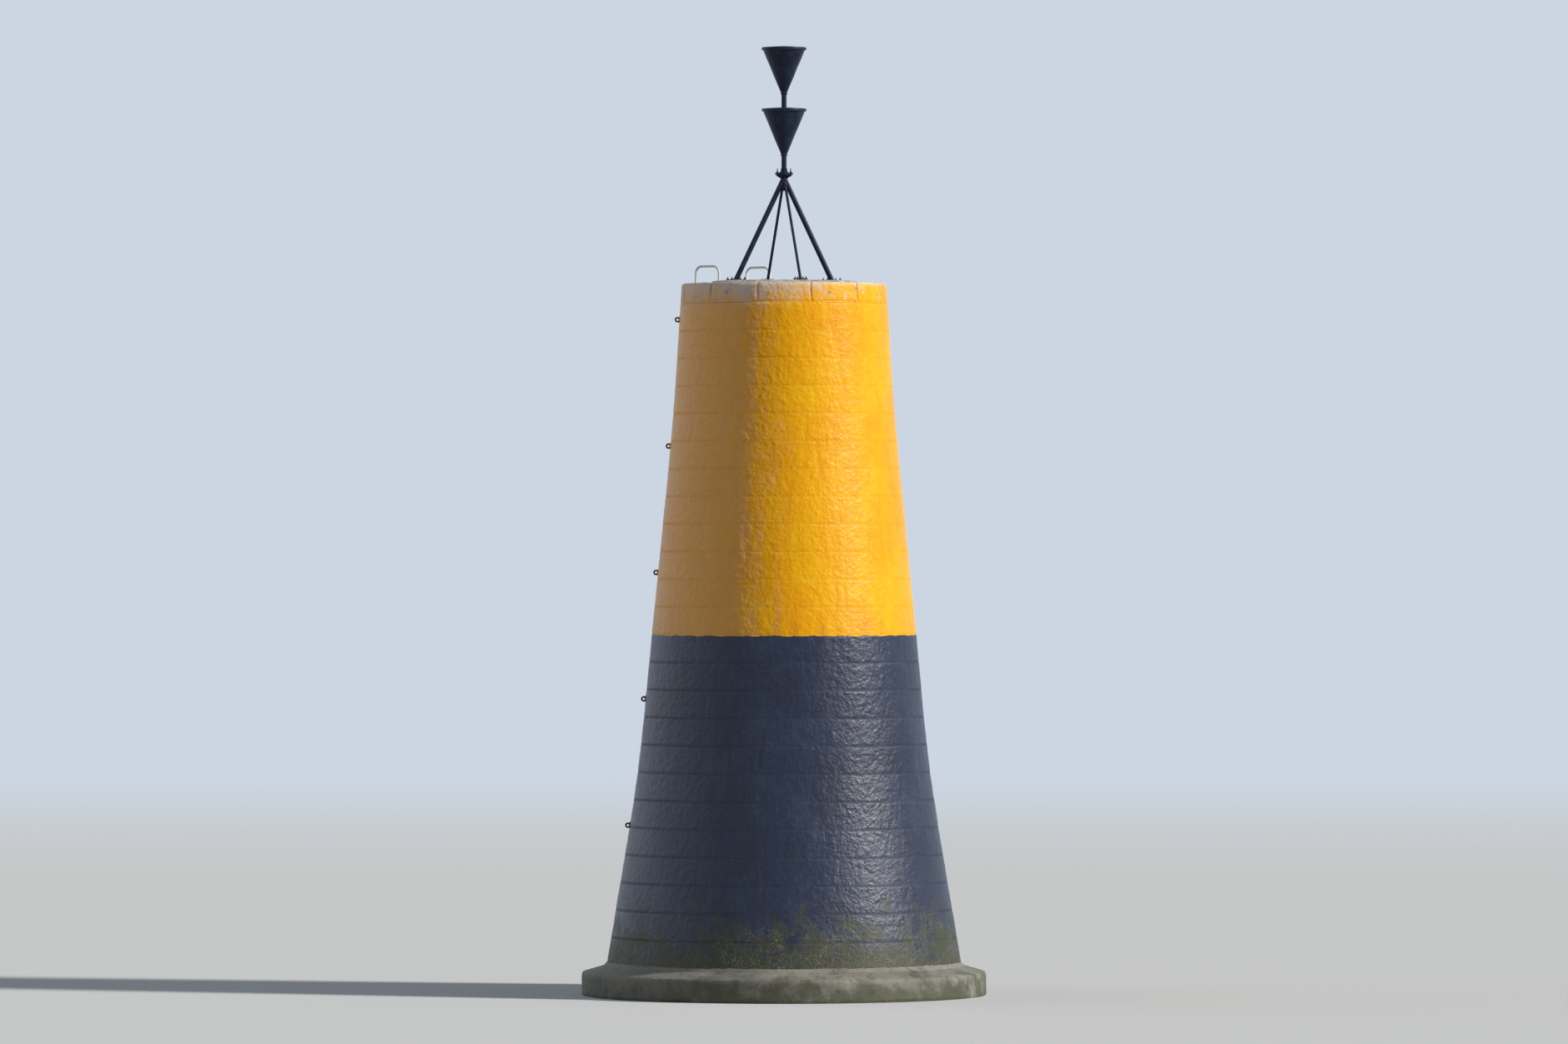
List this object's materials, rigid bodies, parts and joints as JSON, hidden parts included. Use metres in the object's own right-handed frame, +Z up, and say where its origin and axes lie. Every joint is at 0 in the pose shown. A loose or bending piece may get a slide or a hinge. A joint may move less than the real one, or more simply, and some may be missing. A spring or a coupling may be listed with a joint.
{
  "type": "masonry beacon tower",
  "caption": "Fixed sea beacon: a tapering round tower of painted masonry, yellow over black, with rungs up the back and a topmark of cones, points down.",
  "frame": {"origin": "centre of the footing's underside, on the tower's axis", "axes": "+Z up the tower; -Y is the side in the picture; +X is to the right there"},
  "size_m": [5.9, 5.8996, 13.808],
  "materials": {
    "footing_concrete": "rough weathered concrete",
    "black_wall": "coursed masonry under thick semi-gloss black paint",
    "yellow_wall": "coursed masonry under thick semi-gloss yellow paint",
    "coping_stone": "dressed stone, painted yellow, whitened at the top",
    "deck_concrete": "concrete, whitened by weather",
    "mark_paint": "black paint on steel",
    "rung_black": "black paint on round iron",
    "rung_yellow": "yellow paint on round iron",
    "hoop_zinc": "pale galvanised tube",
    "lug_iron": "rusting forged iron"
  },
  "bodies": {
    "root": {"footing": "footing_concrete", "shaft_foot": "black_wall", "shaft_black": "black_wall", "shaft_yellow": "yellow_wall", "shaft_neck": "yellow_wall", "coping": "coping_stone", "deck": "deck_concrete", "foot_right": "mark_paint", "foot_back": "mark_paint", "foot_left": "mark_paint", "foot_front": "mark_paint", "leg_right": "mark_paint", "stay_back": "mark_paint", "leg_left": "mark_paint", "stay_front": "mark_paint", "hub": "mark_paint", "mast": "mark_paint", "cone_lower": "mark_paint", "lid_lower": "mark_paint", "cone_upper": "mark_paint", "lid_upper": "mark_paint", "rungs_black": "rung_black", "rungs_yellow": "rung_yellow", "hoop_right": "hoop_zinc", "hoop_left": "hoop_zinc", "mooring_lugs": "lug_iron"}
  },
  "joints": []
}
